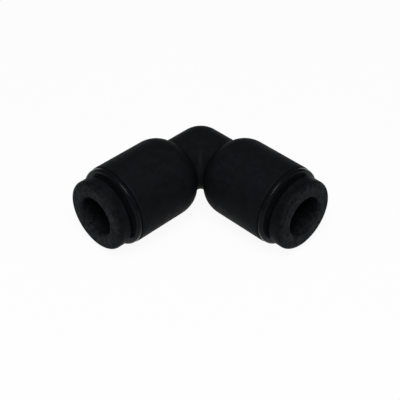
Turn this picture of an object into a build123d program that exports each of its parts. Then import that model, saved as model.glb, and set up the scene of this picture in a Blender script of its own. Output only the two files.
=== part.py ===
"""Right-angle push-in connector for plastic tube, in millimetres.

The connector lies flat. Its two sockets run along +X and +Y from the elbow, and it
rests on their undersides. The origin is under the middle of the whole part, on the
surface that it lies on. In every profile, x is the distance along a port from the
crossing of the two port axes, and y is the radius.
"""

import os
from math import asin, cos, degrees, radians, tan

from build123d import *

os.makedirs("parts", exist_ok=True)

# Tube that the connector takes
tube_diameter = 6.0
tube_clearance = 0.1
tube_seat_clearance = 0.05
passage_diameter = 4.0

# Outside of the moulded body
core_wall = 2.45
socket_wall = 1.05
shoulder_gap = 0.65
shoulder_length = 3.5
shoulder_dip = 0.8
foot_round = 1.0
foot_sink = 0.01
socket_edge_round = 0.3
crotch_round = 1.0

# Bores of the body
tube_stop_depth = 1.1
tube_seat_length = 3.2
tube_lead_in = 0.3
seal_pocket_length = 2.7
seal_section = 1.75
press_clearance = 0.02

# Seal ring
seal_end_clearance = 0.1
seal_lip_reach = 0.1
seal_base_gap = 0.25
seal_base_length = 1.0
seal_lip_thickness = 0.45

# Grab ring: a flat rim with sprung teeth that lean towards the tube stop
rim_thickness = 0.3
rim_width = 0.9
tooth_angle = 40.0
tooth_bite = 0.05
tooth_count = 8
tooth_gap = 0.5

# Spacer ring, with a cone that the teeth bend into
tooth_room = 0.45
spacer_clearance = 0.2
spacer_land = 0.1

# Guide ring pressed into the socket's mouth
guide_wall = 0.58
guide_length = 3.95
guide_lead_in = 0.25
chamber_clearance = 0.25
neck_step = 0.6
neck_length = 0.2
flange_setback = 0.1
flange_thickness = 0.7
flange_edge_round = 0.45
barb_distance = 1.3
barb_length = 0.8
barb_height = 0.22
barb_clearance = 0.03

# Release sleeve
shank_wall = 0.85
running_clearance = 0.1
head_step = 1.6
head_length = 2.2
head_front_round = 0.7
head_back_round = 0.3
mouth_round = 0.45
release_stroke = 0.75
release_gap = 0.35
bead_height = 0.4
bead_length = 0.45
nose_width = 0.3
slit_count = 4
slit_width = 0.7
slit_root = 0.9

# Radii, from the tube outwards
tube_radius = tube_diameter / 2
passage_radius = passage_diameter / 2
core_radius = passage_radius + core_wall
seat_radius = tube_radius + tube_seat_clearance
seal_pocket_radius = tube_radius + seal_section
spacer_bore = tube_radius + spacer_clearance
sleeve_bore = tube_radius + tube_clearance
shank_radius = sleeve_bore + shank_wall
head_radius = shank_radius + head_step
guide_bore = shank_radius + running_clearance
bead_radius = shank_radius + bead_height
chamber_radius = bead_radius + chamber_clearance
fitted_radius = chamber_radius + guide_wall
insert_radius = fitted_radius + press_clearance
socket_radius = insert_radius + socket_wall
neck_radius = insert_radius + neck_step
flange_radius = socket_radius - flange_setback
rim_inner = fitted_radius - rim_width
tooth_tip = tube_radius - tooth_bite
cone_outer = rim_inner + tooth_room

# Slope of the teeth, which the spacer's cone and the sleeve's nose follow
tooth_slope = tan(radians(tooth_angle))
cone_depth = (cone_outer - spacer_bore) * tooth_slope

# Places along a port, each from the piece before it
shoulder_start = core_radius + shoulder_gap
shoulder_end = shoulder_start + shoulder_length
shoulder_drop = socket_radius - core_radius + shoulder_dip
tube_stop = shoulder_start + tube_stop_depth
seal_start = tube_stop + tube_seat_length
spacer_start = seal_start + seal_pocket_length
rim_start = spacer_start + spacer_land + cone_depth
guide_start = rim_start + rim_thickness
socket_end = guide_start + guide_length
flange_start = socket_end + neck_length
guide_end = flange_start + flange_thickness
head_back = guide_end + release_stroke
face = head_back + head_length
barb_end = socket_end - barb_distance
barb_start = barb_end - barb_length

# Foot of the shoulder: where its ellipse leaves the core, just under the core's surface
foot_radius = core_radius - foot_sink
foot_angle = degrees(asin((foot_radius - socket_radius + shoulder_drop) / shoulder_drop))
foot_start = shoulder_end - shoulder_length * cos(radians(foot_angle))

# Nose of the release sleeve, just clear of the teeth at full press
nose_radius = sleeve_bore + nose_width
tooth_at_nose = guide_start - (rim_inner - nose_radius) * tooth_slope
nose_end = tooth_at_nose + release_stroke + release_gap
bead_front = nose_end + (bead_radius - nose_radius) * tooth_slope
bead_stop = bead_front + bead_length

# The crossing of the port axes, so that the part lies centred over the origin
elbow_offset = (face - socket_radius) / 2
elbow = Vector(-elbow_offset, -elbow_offset, socket_radius)

# Each port's profile plane: local x runs out of the port, local y points up
ports = {
    "x": Plane(origin=elbow, x_dir=(1, 0, 0), z_dir=(0, -1, 0)),
    "y": Plane(origin=elbow, x_dir=(0, 1, 0), z_dir=(1, 0, 0)),
}


def port_axis(plane):
    """Axis of a port, out of its mouth."""
    return Axis(plane.origin, plane.x_dir)


def turned(plane, angle):
    """A port's profile plane, turned about the port's axis."""
    turned_z = plane.z_dir.rotate(Axis((0, 0, 0), plane.x_dir), angle)
    return Plane(origin=plane.origin, x_dir=plane.x_dir, z_dir=turned_z)


def across(plane, distance):
    """Plane square to a port at a distance from the crossing, facing out of the mouth."""
    return Plane(origin=plane.origin + plane.x_dir * distance, x_dir=plane.y_dir, z_dir=plane.x_dir)


# Body: a mitred core with a ball at its outside corner and a blend inside it
with BuildPart() as body:
    with Locations(elbow):
        Sphere(core_radius)
    for plane in ports.values():
        with BuildSketch(plane):
            with Locations((shoulder_end / 2, core_radius / 2)):
                Rectangle(shoulder_end, core_radius)
        revolve(axis=port_axis(plane))
    inside_corner = body.edges().filter_by(
        lambda e: e.geom_type == GeomType.ELLIPSE and (e @ 0.5).X > elbow.X
    )
    fillet(inside_corner, crotch_round)

    # The sockets, with their elliptical shoulders blended into the core
    for plane in ports.values():
        with BuildSketch(plane) as socket_profile:
            with BuildLine():
                EllipticalCenterArc(
                    (shoulder_end, socket_radius - shoulder_drop),
                    shoulder_length,
                    shoulder_drop,
                    start_angle=90,
                    arc_size=90 - foot_angle,
                )
                Polyline(
                    (foot_start, foot_radius),
                    (foot_start - foot_round, foot_radius),
                    (foot_start - foot_round, 0),
                    (socket_end, 0),
                    (socket_end, socket_radius),
                    (shoulder_end, socket_radius),
                )
            make_face()
            foot = socket_profile.vertices().sort_by_distance((foot_start, foot_radius, 0))[0]
            fillet(foot, foot_round)
        revolve(axis=port_axis(plane))
    socket_middle = (shoulder_end + socket_end) / 2
    mouth_edges = body.edges().filter_by(
        lambda e: max(e.center().X - elbow.X, e.center().Y - elbow.Y) > socket_middle
        and e.geom_type == GeomType.CIRCLE
    )
    fillet(mouth_edges, socket_edge_round)

    # Bores, from the passage out to each mouth
    with Locations(elbow):
        Sphere(passage_radius, mode=Mode.SUBTRACT)
    for plane in ports.values():
        with BuildSketch(plane):
            with BuildLine():
                Polyline(
                    (0, 0),
                    (0, passage_radius),
                    (tube_stop, passage_radius),
                    (tube_stop, seat_radius),
                    (seal_start - tube_lead_in, seat_radius),
                    (seal_start, seat_radius + tube_lead_in),
                    (seal_start, seal_pocket_radius),
                    (spacer_start, seal_pocket_radius),
                    (spacer_start, insert_radius),
                    (barb_start - barb_clearance, insert_radius),
                    (barb_end + barb_clearance, insert_radius + barb_height),
                    (barb_end + barb_clearance, insert_radius),
                    (socket_end, insert_radius),
                    (socket_end, 0),
                    close=True,
                )
            make_face()
        revolve(axis=port_axis(plane), mode=Mode.SUBTRACT)
body.part.label = "body"
export_step(body.part, "parts/body.step")

for port, plane in ports.items():
    # Seal: a solid base against the spacer, and two lips that open towards the pressure
    with BuildPart() as seal:
        seal_outer = seal_pocket_radius - press_clearance
        seal_lip_radius = tube_radius - seal_lip_reach
        seal_base_radius = tube_radius + seal_base_gap
        lip_end = seal_start + seal_end_clearance
        groove_middle = (seal_outer + seal_base_radius) / 2
        base_start = spacer_start - seal_base_length
        with BuildSketch(plane):
            with BuildLine():
                Polyline(
                    (spacer_start, seal_base_radius),
                    (spacer_start, seal_outer),
                    (lip_end, seal_outer),
                    (lip_end, seal_outer - seal_lip_thickness),
                    (base_start, groove_middle),
                    (lip_end, seal_lip_radius + 2 * seal_lip_thickness),
                    (lip_end, seal_lip_radius + seal_lip_thickness),
                    (lip_end + seal_lip_thickness, seal_lip_radius),
                    close=True,
                )
            make_face()
        revolve(axis=port_axis(plane))
    seal.part.label = f"seal_{port}"
    export_step(seal.part, f"parts/seal_{port}.step")

    # Spacer: backs the seal, and gives the teeth a cone to bend into
    with BuildPart() as spacer:
        with BuildSketch(plane):
            with BuildLine():
                Polyline(
                    (spacer_start, spacer_bore),
                    (spacer_start, fitted_radius),
                    (rim_start, fitted_radius),
                    (rim_start, cone_outer),
                    (spacer_start + spacer_land, spacer_bore),
                    close=True,
                )
            make_face()
        revolve(axis=port_axis(plane))
    spacer.part.label = f"spacer_ring_{port}"
    export_step(spacer.part, f"parts/spacer_ring_{port}.step")

    # Grab ring: rim and cone in one pressing, slit into teeth from the inside
    with BuildPart() as grab_ring:
        tooth_drop = (rim_inner - tooth_tip) * tooth_slope
        with BuildSketch(plane):
            with BuildLine():
                Polyline(
                    (guide_start, rim_inner),
                    (guide_start, fitted_radius),
                    (rim_start, fitted_radius),
                    (rim_start, rim_inner),
                    (rim_start - tooth_drop, tooth_tip),
                    (guide_start - tooth_drop, tooth_tip),
                    close=True,
                )
            make_face()
        revolve(axis=port_axis(plane))
        with BuildSketch(across(plane, guide_start)):
            with PolarLocations((rim_inner + tooth_tip - tooth_gap) / 2, tooth_count):
                SlotOverall(rim_inner - tooth_tip + tooth_gap, tooth_gap)
        extrude(amount=rim_thickness + tooth_drop, both=True, mode=Mode.SUBTRACT)
    grab_ring.part.label = f"grab_ring_{port}"
    export_step(grab_ring.part, f"parts/grab_ring_{port}.step")

    # Guide ring: chamber for the sleeve's bead, guiding bore, barb, neck and flange
    with BuildPart() as guide_ring:
        with BuildSketch(plane) as guide_profile:
            with BuildLine():
                Polyline(
                    (guide_start, chamber_radius),
                    (guide_start, fitted_radius),
                    (barb_start, fitted_radius),
                    (barb_end, fitted_radius + barb_height),
                    (barb_end, fitted_radius),
                    (socket_end, fitted_radius),
                    (socket_end, neck_radius),
                    (flange_start, neck_radius),
                    (flange_start, flange_radius),
                    (guide_end, flange_radius),
                    (guide_end, guide_bore + guide_lead_in),
                    (guide_end - guide_lead_in, guide_bore),
                    (bead_stop, guide_bore),
                    (bead_stop, chamber_radius),
                    close=True,
                )
            make_face()
            flange_front = guide_profile.vertices().group_by(Axis.Y)[-1].sort_by(Axis.X)[-1]
            fillet(flange_front, flange_edge_round)
        revolve(axis=port_axis(plane))
    guide_ring.part.label = f"guide_ring_{port}"
    export_step(guide_ring.part, f"parts/guide_ring_{port}.step")

    # Release sleeve: rounded head, slit shank, and a nose with a bead behind the guide ring
    with BuildPart() as sleeve:
        with BuildSketch(plane):
            with BuildLine():
                outline = FilletPolyline(
                    (nose_end, nose_radius),
                    (bead_front, bead_radius),
                    (bead_stop, bead_radius),
                    (bead_stop, shank_radius),
                    (head_back, shank_radius),
                    (head_back, head_radius),
                    (face, head_radius),
                    (face, sleeve_bore),
                    (nose_end, sleeve_bore),
                    radius=[0, 0, 0, 0, head_back_round, head_front_round, mouth_round],
                )
                Line(outline @ 1, outline @ 0)
            make_face()
        revolve(axis=port_axis(plane))
        slit_end = guide_end - slit_root
        for turn in range(slit_count // 2):
            slit_turn = 180 / slit_count + turn * 360 / slit_count
            with BuildSketch(turned(plane, slit_turn)):
                with Locations(((nose_end - slit_width + slit_end) / 2, 0)):
                    SlotOverall(slit_end - nose_end + slit_width, slit_width)
            extrude(amount=bead_radius, both=True, mode=Mode.SUBTRACT)
    sleeve.part.label = f"release_sleeve_{port}"
    export_step(sleeve.part, f"parts/release_sleeve_{port}.step")
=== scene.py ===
"""Right-angle push-in connector: its finishes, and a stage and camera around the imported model."""

from math import cos, pi, radians, sin

import bmesh
import bpy
from mathutils import Matrix, Vector


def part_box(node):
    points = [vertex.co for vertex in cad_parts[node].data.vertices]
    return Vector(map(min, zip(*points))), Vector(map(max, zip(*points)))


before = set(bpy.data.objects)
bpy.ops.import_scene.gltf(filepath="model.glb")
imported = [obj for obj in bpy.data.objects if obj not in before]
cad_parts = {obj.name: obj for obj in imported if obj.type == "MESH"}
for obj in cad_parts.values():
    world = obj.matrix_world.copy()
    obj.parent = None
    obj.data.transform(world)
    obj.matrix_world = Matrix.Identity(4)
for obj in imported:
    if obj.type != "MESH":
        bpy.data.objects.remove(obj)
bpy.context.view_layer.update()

bl_info = {
    "name": "Push-in elbow connector",
    "version": (1, 0, 0),
    "blender": (4, 5, 0),
    "location": "3D View > Sidebar > Connector",
    "description": "Finishes a right-angle push-in tube connector and sets its stage",
    "category": "Object",
}

# Lengths are in metres
MM = 0.001
MICRON = 0.000001

# How much paler an edge is painted, a painted highlight where its round catches light, and how much less
# rough a polished edge is than the plastic around it
EDGE_SHEEN = 1.9
EDGE_POLISH = 0.12

# Scratches: their directions, how they are drawn out, and their share of the roughness drift
SCRATCH_TURNS = (radians(24), radians(-51))
SCRATCH_STRETCH = (1.0, 60.0, 12.0)
SCRATCH_SHINE = 0.5

# How many pitches the rings of a turned face wander
RING_WANDER = 2.0

# How much paler the bloom on a seal is than its rubber
BLOOM_PALENESS = 2.2

# How the lines of rolled strip are drawn out, and what an oil stain leaves of its red, green and blue
ROLLING_STRETCH = (1.0, 1.0, 30.0)
OIL_STAIN = (0.80, 0.76, 0.70)

# How much darker the fibres of the paper are
FIBRE_SHADE = 0.985

# A colour's fourth part and the glow of plain white
OPAQUE = 1.0
WHITE = (1.0, 1.0, 1.0, OPAQUE)

# Where the port axes cross, from the body's box: both sockets lie on the floor
BODY_LOW, BODY_HIGH = (Vector(corner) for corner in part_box("body"))
SOCKET_RADIUS = (BODY_HIGH.z - BODY_LOW.z) / 2
ELBOW = BODY_LOW + Vector((SOCKET_RADIUS, SOCKET_RADIUS, SOCKET_RADIUS))
PORTS = ("x", "y")

# From the elbow along a port to the fronts of its release sleeve and its guide ring
SLEEVE_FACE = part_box("release_sleeve_x")[1].x - ELBOW.x
GUIDE_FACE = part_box("guide_ring_x")[1].x - ELBOW.x

# Painted light: paler colour, which lifts the shade inside a bore, goes this far down it, on walls nearer
# than this to the port's axis
BORE_LIGHT_DEPTH = 3.2 * MM
BORE_LIGHT_RADIUS = 3.3 * MM


def colour_property(name, description, default):
    """A colour that the sidebar shows as a swatch."""
    return bpy.props.FloatVectorProperty(
        name=name, description=description, subtype="COLOR", size=3, min=0.0, max=1.0, default=default
    )


def length_property(name, description, default):
    """A length in metres."""
    return bpy.props.FloatProperty(
        name=name, description=description, subtype="DISTANCE", unit="LENGTH", default=default, precision=5
    )


def angle_property(name, description, default):
    """An angle, given in degrees."""
    return bpy.props.FloatProperty(
        name=name, description=description, subtype="ANGLE", unit="ROTATION", default=radians(default)
    )


class ConnectorFinish(bpy.types.PropertyGroup):
    """Colours and surface sizes of the connector's pieces."""

    body_colour: colour_property("Body colour", "Of the moulded body", (0.0043, 0.0048, 0.0057))
    sleeve_colour: colour_property("Sleeve colour", "Of the release sleeves", (0.0028, 0.0033, 0.0040))
    guide_colour: colour_property("Guide ring colour", "Of the rings at the mouths", (0.0034, 0.0039, 0.0047))
    spacer_colour: colour_property("Spacer colour", "Of the rings behind the seals", (0.0150, 0.0155, 0.0165))
    seal_colour: colour_property("Seal colour", "Of the rubber seals", (0.0120, 0.0118, 0.0115))
    steel_colour: colour_property("Steel colour", "Of the grab rings", (0.56, 0.55, 0.53))
    # Paler patches at the mouths: dust on the release sleeves' faces, and painted light that lifts the shade
    # on the guide rings' faces and down the bores
    dust_and_light_colour: colour_property("Dust colour", "On the faces at the mouths", (0.0098, 0.0114, 0.0129))
    grain_size: length_property("Grain size", "Width of the bumps of the moulded grain", 0.12 * MM)
    mottle_size: length_property("Mottle size", "Width of the patches where the tone drifts", 1.1 * MM)
    # This reach also bounds the painted highlight on the edges
    rub_and_sheen_reach: length_property("Rub reach", "How far from an edge handling has polished it", 0.16 * MM)


class ConnectorStage(bpy.types.PropertyGroup):
    """Camera, light and floor."""

    camera_azimuth: angle_property("Camera azimuth", "Direction of the camera around the connector", 135.765)
    camera_elevation: angle_property("Camera elevation", "Height of the camera above the horizon", 38.70)
    camera_roll: angle_property("Camera roll", "Turn of the camera about its line of sight", -0.58)
    camera_distance: length_property("Camera distance", "From the camera to what it looks at", 0.159)
    focal_length: bpy.props.FloatProperty(
        name="Focal length",
        description="Of the camera's lens, in millimetres",
        subtype="DISTANCE_CAMERA",
        default=95.507,
    )
    reach: length_property("Reach", "From the elbow along each port to the middle of the view", 6.343 * MM)
    drop: length_property("Drop", "How far below that point the camera aims", 1.505 * MM)
    side_step: length_property("Side step", "How far to the left of that point the camera aims", 0.0535 * MM)
    key_direction: bpy.props.FloatVectorProperty(
        name="Key lamp direction",
        description="From the connector to the large soft lamp",
        subtype="DIRECTION",
        default=(0.31, 0.30, 0.90),
    )
    key_distance: length_property("Key lamp distance", "From the floor under the connector to the lamp", 0.5)
    key_size: length_property("Key lamp size", "Side of the square lamp", 0.28)
    key_power: bpy.props.FloatProperty(
        name="Key lamp power",
        description="Of the large soft lamp",
        subtype="POWER",
        unit="POWER",
        default=2.6,
    )
    room_light: bpy.props.FloatProperty(
        name="Room light", description="Brightness of the dim room around the stage", default=0.13
    )
    floor_colour: colour_property("Floor colour", "Of the paper under the connector", (0.78, 0.78, 0.78))
    floor_glow: bpy.props.FloatProperty(
        name="Floor glow",
        description="Share of plain white in the floor that the camera and reflections see",
        subtype="FACTOR",
        min=0.0,
        max=1.0,
        default=0.93,
    )
    floor_reach: length_property("Floor reach", "From the connector to the edge of the floor", 1.5)


def add_node(tree, kind, inputs=None, **settings):
    """Adds a node with its settings; each input gets a socket to read from, or a plain value."""
    made = tree.nodes.new(kind)
    for name, value in settings.items():
        setattr(made, name, value)
    for key, value in (inputs or {}).items():
        if isinstance(value, bpy.types.NodeSocket):
            tree.links.new(value, made.inputs[key])
        else:
            made.inputs[key].default_value = value
    return made


def object_place(tree):
    """Adds the place of a point on its own piece, which goes along when the piece moves."""
    return add_node(tree, "ShaderNodeTexCoord").outputs["Object"]


def calculate(tree, operation, *values):
    """Adds a Math node on sockets or numbers, and returns its result."""
    return add_node(tree, "ShaderNodeMath", dict(enumerate(values)), operation=operation).outputs[0]


def noise(tree, place, size, detail=2.0, distortion=0.0):
    """Adds noise from 0 to 1 whose features are about as wide as size."""
    scale = calculate(tree, "DIVIDE", 1.0, size)
    inputs = {"Vector": place, "Scale": scale, "Detail": detail, "Distortion": distortion}
    return add_node(tree, "ShaderNodeTexNoise", inputs).outputs["Fac"]


def spread_out(tree, value, low, high, to_low=0.0, to_high=1.0):
    """Stretches the range low to high of a value to another range, smoothly and within its ends."""
    inputs = {"Value": value, "From Min": low, "From Max": high, "To Min": to_low, "To Max": to_high}
    return add_node(tree, "ShaderNodeMapRange", inputs, interpolation_type="SMOOTHSTEP").outputs["Result"]


def blend_colours(tree, share, first, second):
    """Mixes two colours."""
    mix = add_node(tree, "ShaderNodeMix", {"Factor": share}, data_type="RGBA")
    for socket, colour in ((mix.inputs[6], first), (mix.inputs[7], second)):
        if isinstance(colour, bpy.types.NodeSocket):
            tree.links.new(colour, socket)
        else:
            socket.default_value = colour
    return mix.outputs[2]


def new_group(name, inputs, outputs):
    """Starts a node group; returns its tree, the sockets that it reads, and those that it puts out."""
    tree = bpy.data.node_groups.new(name, "ShaderNodeTree")
    for label, kind, default in inputs:
        tree.interface.new_socket(label, in_out="INPUT", socket_type=kind).default_value = default
    for label, kind in outputs:
        tree.interface.new_socket(label, in_out="OUTPUT", socket_type=kind)
    return tree, tree.nodes.new("NodeGroupInput").outputs, tree.nodes.new("NodeGroupOutput").inputs


def place_group(tree, build, inputs=None):
    """Places a shared node group in a tree, building it on first use, and returns its outputs."""
    group = bpy.data.node_groups.get(build.__name__) or build(build.__name__)
    return add_node(tree, "ShaderNodeGroup", inputs, node_tree=group).outputs


def port_place(name):
    """Node group: where a point lies about the axis of its own port, alike on both ports."""
    tree, _, result = new_group(name, (), (("Along", "NodeSocketFloat"), ("Radius", "NodeSocketFloat")))
    place = object_place(tree)
    inputs = {0: place, 1: ELBOW}
    from_elbow = add_node(tree, "ShaderNodeVectorMath", inputs, operation="SUBTRACT").outputs[0]
    axes = add_node(tree, "ShaderNodeSeparateXYZ", {0: from_elbow}).outputs
    across = calculate(tree, "MINIMUM", axes["X"], axes["Y"])
    square = calculate(tree, "MULTIPLY", across, across)
    radius = calculate(tree, "SQRT", calculate(tree, "MULTIPLY_ADD", axes["Z"], axes["Z"], square))
    tree.links.new(calculate(tree, "MAXIMUM", axes["X"], axes["Y"]), result["Along"])
    tree.links.new(radius, result["Radius"])
    return tree


def rubbed_and_sheen_edges(name):
    """Node group: a broken mask of the edges that fingers have polished; it also places the painted highlight
    on those edges.
    """
    tree, given, result = new_group(
        name, (("Reach", "NodeSocketFloat", 0.16 * MM),), (("Mask", "NodeSocketFloat"),)
    )
    place = object_place(tree)
    softened = add_node(tree, "ShaderNodeBevel", {"Radius": given["Reach"]}, samples=6).outputs[0]
    plain = add_node(tree, "ShaderNodeNewGeometry").outputs["Normal"]
    normals = {0: softened, 1: plain}
    agree = add_node(tree, "ShaderNodeVectorMath", normals, operation="DOT_PRODUCT").outputs["Value"]
    edge = spread_out(tree, agree, 1.0, 0.86)
    broken = spread_out(tree, noise(tree, place, 0.7 * MM, detail=4.0), 0.35, 0.65, 0.4, 1.0)
    tree.links.new(calculate(tree, "MULTIPLY", edge, broken), result["Mask"])
    return tree


def hairlines(name):
    """Node group: a mask of the fine straight scratches that a loose fitting picks up in its bag."""
    tree, given, result = new_group(
        name, (("Length", "NodeSocketFloat", 2.5 * MM),), (("Mask", "NodeSocketFloat"),)
    )
    place = object_place(tree)
    masks = []
    for turn in SCRATCH_TURNS:
        inputs = {"Vector": place, "Rotation": (turn, turn / 2, turn), "Scale": SCRATCH_STRETCH}
        turned = add_node(tree, "ShaderNodeMapping", inputs).outputs[0]
        masks.append(spread_out(tree, noise(tree, turned, given["Length"], detail=1.0), 0.66, 0.74))
    tree.links.new(calculate(tree, "MAXIMUM", *masks), result["Mask"])
    return tree


def moulded_skin(name):
    """Node group: the colour, roughness and relief of a moulding, with its grain and its drift of tone."""
    tree, given, result = new_group(
        name,
        (
            ("Colour", "NodeSocketColor", (0.005, 0.005, 0.005, 1.0)),
            ("Pale colour", "NodeSocketColor", (0.01, 0.01, 0.01, 1.0)),
            ("Roughness", "NodeSocketFloat", 0.5),
            ("Roughness drift", "NodeSocketFloat", 0.1),
            ("Grain size", "NodeSocketFloat", 0.12 * MM),
            ("Mottle size", "NodeSocketFloat", 1.1 * MM),
            ("Mottle relief", "NodeSocketFloat", 0.2),
        ),
        (("Colour", "NodeSocketColor"), ("Roughness", "NodeSocketFloat"), ("Height", "NodeSocketFloat")),
    )
    place = object_place(tree)
    grain = noise(tree, place, given["Grain size"], detail=3.0)
    mottle = noise(tree, place, given["Mottle size"], detail=3.0, distortion=0.8)
    patches = spread_out(tree, mottle, 0.34, 0.68)
    specks = spread_out(tree, grain, 0.45, 0.75, 0.0, 0.35)
    share = calculate(tree, "MAXIMUM", patches, specks)
    tree.links.new(blend_colours(tree, share, given["Colour"], given["Pale colour"]), result["Colour"])
    scratched = calculate(tree, "MULTIPLY", place_group(tree, hairlines)["Mask"], SCRATCH_SHINE)
    shift = calculate(tree, "SUBTRACT", calculate(tree, "SUBTRACT", patches, 0.5), scratched)
    drifted = calculate(tree, "MULTIPLY_ADD", shift, given["Roughness drift"], given["Roughness"])
    tree.links.new(drifted, result["Roughness"])
    height = calculate(tree, "MULTIPLY_ADD", mottle, given["Mottle relief"], grain)
    tree.links.new(height, result["Height"])
    return tree


def turned_lines(name):
    """Node group: relief of the fine rings that a turned mould or a lathe leaves about a port's axis."""
    tree, given, result = new_group(
        name, (("Pitch", "NodeSocketFloat", 0.06 * MM),), (("Height", "NodeSocketFloat"),)
    )
    place = place_group(tree, port_place)
    sum_of_both = calculate(tree, "ADD", place["Along"], place["Radius"])
    wander = calculate(tree, "MULTIPLY", noise(tree, object_place(tree), MM), RING_WANDER)
    turns = calculate(tree, "ADD", calculate(tree, "DIVIDE", sum_of_both, given["Pitch"]), wander)
    wave = calculate(tree, "SINE", calculate(tree, "MULTIPLY", turns, 2 * pi))
    tree.links.new(calculate(tree, "MULTIPLY_ADD", wave, 0.5, 0.5), result["Height"])
    return tree


def face_dust_and_light(name):
    """Node group: a mask of pale patches on a port's face, which are dust on a release sleeve and painted
    light on a guide ring's shaded face, and a short way down its bore, where they are painted light that
    lifts the shade.
    """
    tree, given, result = new_group(
        name,
        (
            ("Size", "NodeSocketFloat", 0.5 * MM),
            ("Face", "NodeSocketFloat", SLEEVE_FACE),
            ("Reach", "NodeSocketFloat", 0.4 * MM),
        ),
        (("Mask", "NodeSocketFloat"),),
    )
    about_port = place_group(tree, port_place)
    depth = calculate(tree, "SUBTRACT", given["Face"], about_port["Along"])
    on_face = spread_out(tree, calculate(tree, "DIVIDE", depth, given["Reach"]), 1.2, 0.2)
    # Painted light: paler patches a short way down the bore lift its shade
    painted_bore_light = spread_out(tree, depth, BORE_LIGHT_DEPTH, 0.0)
    in_bore = calculate(tree, "LESS_THAN", about_port["Radius"], BORE_LIGHT_RADIUS)
    on_face = calculate(tree, "MAXIMUM", on_face, calculate(tree, "MULTIPLY", painted_bore_light, in_bore))
    place = object_place(tree)
    patches = spread_out(tree, noise(tree, place, given["Size"], detail=2.0, distortion=0.5), 0.36, 0.66)
    tree.links.new(calculate(tree, "MULTIPLY", on_face, patches), result["Mask"])
    return tree


def new_material(name):
    """A material with nodes; returns it with its tree and its Principled shader."""
    material = bpy.data.materials.new(name)
    material.use_nodes = True
    return material, material.node_tree, material.node_tree.nodes["Principled BSDF"]


def bump(tree, height, distance):
    """Turns a height from 0 to 1 into a normal; distance is the real height of the relief."""
    inputs = {"Height": height, "Distance": distance, "Strength": 1.0}
    return add_node(tree, "ShaderNodeBump", inputs).outputs["Normal"]


def plastic(
    name, finish, colour, paleness, roughness, drift, grain_relief, mottle_relief, gloss, ring_relief=0.0,
    face=None, dust_and_light_reach=0.4 * MM, dust_and_light_size=0.5 * MM,
):
    """A moulded plastic.

    Paleness is how much lighter its pale patches are, drift how far they shift its roughness, and gloss its
    reflection. Face is how far from the elbow it faces out of a port, where that face and a short way down
    its bore get paler patches: dust on a sleeve's face, painted light on a guide ring's shaded face and in
    the bores.
    """
    material, tree, shader = new_material(name)
    pale = tuple(part * paleness for part in colour)
    skin = place_group(
        tree,
        moulded_skin,
        {
            "Colour": (*colour, OPAQUE),
            "Pale colour": (*pale, OPAQUE),
            "Roughness": roughness,
            "Roughness drift": drift,
            "Grain size": finish.grain_size,
            "Mottle size": finish.mottle_size,
            "Mottle relief": mottle_relief,
        },
    )
    rub_and_sheen_mask = place_group(tree, rubbed_and_sheen_edges, {"Reach": finish.rub_and_sheen_reach})["Mask"]
    smoother = calculate(tree, "MULTIPLY_ADD", rub_and_sheen_mask, -EDGE_POLISH, skin["Roughness"])
    height = skin["Height"]
    if ring_relief:
        rings = place_group(tree, turned_lines)["Height"]
        height = calculate(tree, "MULTIPLY_ADD", rings, ring_relief, height)
    # Painted highlight: edges are painted paler where their rounds catch light
    edge_highlight = tuple(part * EDGE_SHEEN for part in colour)
    colour_seen = blend_colours(tree, rub_and_sheen_mask, skin["Colour"], (*edge_highlight, OPAQUE))
    # Paler patches at the face: dust on a sleeve's face, and painted light that lifts the shade on a guide
    # ring's face and down the bores
    if face:
        inputs = {"Size": dust_and_light_size, "Face": face, "Reach": dust_and_light_reach}
        dust_and_light_mask = place_group(tree, face_dust_and_light, inputs)["Mask"]
        colour_seen = blend_colours(tree, dust_and_light_mask, colour_seen, (*finish.dust_and_light_colour, OPAQUE))
    tree.links.new(colour_seen, shader.inputs["Base Color"])
    tree.links.new(smoother, shader.inputs["Roughness"])
    tree.links.new(bump(tree, height, grain_relief), shader.inputs["Normal"])
    shader.inputs["Specular IOR Level"].default_value = gloss
    return material


def seal_rubber(finish):
    """Nitrile rubber: matt, with a grey bloom in patches."""
    material, tree, shader = new_material("seal_rubber")
    place = object_place(tree)
    bloom = spread_out(tree, noise(tree, place, 0.9 * MM, detail=5.0), 0.42, 0.72)
    pores = noise(tree, place, 0.05 * MM, detail=2.0)
    dusty = tuple(part * BLOOM_PALENESS for part in finish.seal_colour)
    colour = blend_colours(tree, bloom, (*finish.seal_colour, OPAQUE), (*dusty, OPAQUE))
    tree.links.new(colour, shader.inputs["Base Color"])
    tree.links.new(spread_out(tree, bloom, 0.0, 1.0, 0.58, 0.82), shader.inputs["Roughness"])
    tree.links.new(bump(tree, pores, 3 * MICRON), shader.inputs["Normal"])
    shader.inputs["Specular IOR Level"].default_value = 0.35
    return material


def spring_steel(finish):
    """Stamped stainless strip: bright, with the fine lines of its rolling and a stain of forming oil."""
    material, tree, shader = new_material("spring_steel")
    place = object_place(tree)
    stretched = add_node(tree, "ShaderNodeMapping", {"Vector": place, "Scale": ROLLING_STRETCH}).outputs[0]
    rolled = noise(tree, stretched, 0.9 * MM, detail=4.0)
    stain = spread_out(tree, noise(tree, place, 1.6 * MM, detail=3.0), 0.4, 0.7)
    oiled = tuple(part * share for part, share in zip(finish.steel_colour, OIL_STAIN))
    colour = blend_colours(tree, stain, (*finish.steel_colour, OPAQUE), (*oiled, OPAQUE))
    tree.links.new(colour, shader.inputs["Base Color"])
    tree.links.new(spread_out(tree, rolled, 0.3, 0.7, 0.22, 0.40), shader.inputs["Roughness"])
    tree.links.new(bump(tree, rolled, 2 * MICRON), shader.inputs["Normal"])
    shader.inputs["Metallic"].default_value = 1.0
    return material


def port_nodes(stem):
    """The two CAD nodes of a piece that each port has."""
    return [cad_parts[f"{stem}_{port}"] for port in PORTS]


def dress(nodes, material):
    """Gives CAD nodes one material."""
    for node in nodes:
        node.data.materials.clear()
        node.data.materials.append(material)


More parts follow.
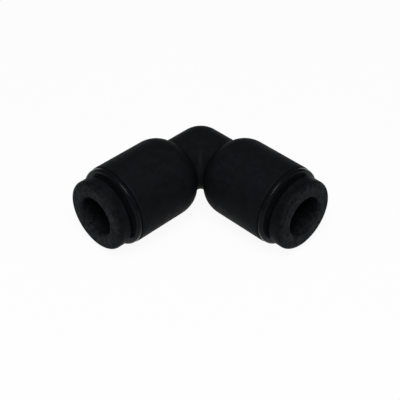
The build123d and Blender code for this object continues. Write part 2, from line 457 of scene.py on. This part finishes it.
class CONNECTOR_OT_body(bpy.types.Operator):
    """Finish the moulded body"""

    bl_idname = "connector.body"
    bl_label = "Body"

    def execute(self, context):
        finish = context.scene.connector_finish
        material = plastic(
            "body_plastic", finish, finish.body_colour, paleness=1.3, roughness=0.6, drift=0.12,
            grain_relief=4 * MICRON, mottle_relief=0.5, gloss=0.032,
        )
        dress([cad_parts["body"]], material)
        return {"FINISHED"}


class CONNECTOR_OT_release_sleeves(bpy.types.Operator):
    """Finish the release sleeves that are pressed to free the tube"""

    bl_idname = "connector.release_sleeves"
    bl_label = "Release sleeves"

    def execute(self, context):
        finish = context.scene.connector_finish
        # The sleeve's face gets dust, and a short way down its bore paler painted light that lifts the shade
        material = plastic(
            "sleeve_plastic", finish, finish.sleeve_colour, paleness=1.7, roughness=0.6, drift=0.25,
            grain_relief=6 * MICRON, mottle_relief=2.5, gloss=0.035, face=SLEEVE_FACE,
        )
        dress(port_nodes("release_sleeve"), material)
        return {"FINISHED"}


class CONNECTOR_OT_guide_rings(bpy.types.Operator):
    """Finish the rings pressed into the mouths"""

    bl_idname = "connector.guide_rings"
    bl_label = "Guide rings"

    def execute(self, context):
        finish = context.scene.connector_finish
        # The paler patches on the guide ring's front face are painted light, lifting the shade behind the
        # release sleeve's head
        material = plastic(
            "guide_plastic", finish, finish.guide_colour, paleness=1.3, roughness=0.2, drift=0.1,
            grain_relief=3 * MICRON, mottle_relief=0.5, gloss=0.052, ring_relief=0.2,
            face=GUIDE_FACE, dust_and_light_reach=0.08 * MM, dust_and_light_size=0.15 * MM,
        )
        dress(port_nodes("guide_ring"), material)
        return {"FINISHED"}


class CONNECTOR_OT_inner_rings(bpy.types.Operator):
    """Finish the seals, the spacer rings and the grab rings inside the sockets"""

    bl_idname = "connector.inner_rings"
    bl_label = "Seals, spacers and grab rings"

    def execute(self, context):
        finish = context.scene.connector_finish
        spacer = plastic(
            "spacer_plastic", finish, finish.spacer_colour, paleness=1.4, roughness=0.42, drift=0.1,
            grain_relief=3 * MICRON, mottle_relief=0.4, gloss=0.4, ring_relief=1.0,
        )
        dress(port_nodes("spacer_ring"), spacer)
        dress(port_nodes("seal"), seal_rubber(finish))
        dress(port_nodes("grab_ring"), spring_steel(finish))
        return {"FINISHED"}


def floor_paper(stage):
    """White paper with faint fibres; the camera and reflections see some of it as plain white."""
    material, tree, shader = new_material("floor_paper")
    place = object_place(tree)
    fibres = noise(tree, place, 0.8 * MM, detail=4.0)
    shade = tuple(part * FIBRE_SHADE for part in stage.floor_colour)
    colour = blend_colours(tree, fibres, (*stage.floor_colour, OPAQUE), (*shade, OPAQUE))
    tree.links.new(colour, shader.inputs["Base Color"])
    tree.links.new(bump(tree, fibres, 5 * MICRON), shader.inputs["Normal"])
    shader.inputs["Roughness"].default_value = 0.95
    shader.inputs["Specular IOR Level"].default_value = 0.1
    path = add_node(tree, "ShaderNodeLightPath").outputs
    seen = calculate(tree, "MAXIMUM", path["Is Camera Ray"], path["Is Glossy Ray"])
    seen = calculate(tree, "MAXIMUM", seen, path["Is Transmission Ray"])
    share = calculate(tree, "MULTIPLY", seen, stage.floor_glow)
    white = add_node(tree, "ShaderNodeEmission", {"Color": WHITE, "Strength": 1.0}).outputs[0]
    mixed = add_node(tree, "ShaderNodeMixShader", {0: share, 1: shader.outputs[0], 2: white}).outputs[0]
    tree.links.new(mixed, tree.nodes["Material Output"].inputs["Surface"])
    return material


def lay_floor(stage, scene):
    """The paper floor under the connector."""
    form = bmesh.new()
    bmesh.ops.create_grid(form, x_segments=1, y_segments=1, size=stage.floor_reach)
    mesh = bpy.data.meshes.new("floor")
    form.to_mesh(mesh)
    form.free()
    mesh.materials.append(floor_paper(stage))
    floor = bpy.data.objects.new("floor", mesh)
    scene.collection.objects.link(floor)


def hang_lamp(stage, scene):
    """The large soft lamp above the camera, and the dim room."""
    light = bpy.data.lights.new("key", "AREA")
    light.shape = "SQUARE"
    light.size = stage.key_size
    light.energy = stage.key_power
    lamp = bpy.data.objects.new("key", light)
    towards = Vector(stage.key_direction).normalized()
    lamp.location = towards * stage.key_distance
    lamp.rotation_euler = towards.to_track_quat("Z", "Y").to_euler()
    scene.collection.objects.link(lamp)
    world = bpy.data.worlds.new("studio")
    world.use_nodes = True
    world.node_tree.nodes["Background"].inputs["Color"].default_value = (*[stage.room_light] * 3, OPAQUE)
    scene.world = world


def set_camera(stage, scene):
    """The camera, at the photograph's viewing angle."""
    azimuth = stage.camera_azimuth
    elevation = stage.camera_elevation
    back = Vector((sin(azimuth) * cos(elevation), -cos(azimuth) * cos(elevation), sin(elevation)))
    middle = ELBOW + Vector((stage.reach, stage.reach, 0.0))
    place = middle + back * stage.camera_distance
    right = Vector((0.0, 0.0, 1.0)).cross(back).normalized()
    aim = middle - back.cross(right) * stage.drop - right * stage.side_step
    facing = (place - aim).normalized()
    right = Vector((0.0, 0.0, 1.0)).cross(facing).normalized()
    turn = Matrix((right, facing.cross(right), facing)).transposed().to_4x4()
    data = bpy.data.cameras.new("camera")
    data.lens = stage.focal_length
    data.clip_start = 10 * MM
    camera = bpy.data.objects.new("camera", data)
    camera.matrix_world = Matrix.Translation(place) @ turn @ Matrix.Rotation(stage.camera_roll, 4, "Z")
    scene.collection.objects.link(camera)
    scene.camera = camera


class CONNECTOR_OT_stage(bpy.types.Operator):
    """Set the floor, the lamp and the camera"""

    bl_idname = "connector.stage"
    bl_label = "Stage"

    def execute(self, context):
        scene = context.scene
        stage = scene.connector_stage
        lay_floor(stage, scene)
        hang_lamp(stage, scene)
        set_camera(stage, scene)
        scene.view_settings.view_transform = "Standard"
        return {"FINISHED"}


class CONNECTOR_PT_panel(bpy.types.Panel):
    """Lists the connector's pieces in the sidebar"""

    bl_idname = "CONNECTOR_PT_panel"
    bl_label = "Push-in connector"
    bl_space_type = "VIEW_3D"
    bl_region_type = "UI"
    bl_category = "Connector"

    def draw(self, context):
        for operator in OPERATORS:
            self.layout.operator(operator.bl_idname)


OPERATORS = (
    CONNECTOR_OT_body,
    CONNECTOR_OT_release_sleeves,
    CONNECTOR_OT_guide_rings,
    CONNECTOR_OT_inner_rings,
    CONNECTOR_OT_stage,
)
CLASSES = (ConnectorFinish, ConnectorStage, *OPERATORS, CONNECTOR_PT_panel)


def register():
    """Adds the add-on's classes and its settings on the scene."""
    for cls in CLASSES:
        bpy.utils.register_class(cls)
    bpy.types.Scene.connector_finish = bpy.props.PointerProperty(type=ConnectorFinish)
    bpy.types.Scene.connector_stage = bpy.props.PointerProperty(type=ConnectorStage)


def unregister():
    """Takes them away again."""
    del bpy.types.Scene.connector_stage
    del bpy.types.Scene.connector_finish
    for cls in reversed(CLASSES):
        bpy.utils.unregister_class(cls)


def main():
    """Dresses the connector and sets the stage."""
    register()
    bpy.ops.connector.body()
    bpy.ops.connector.release_sleeves()
    bpy.ops.connector.guide_rings()
    bpy.ops.connector.inner_rings()
    bpy.ops.connector.stage()


if __name__ == "__main__":
    main()
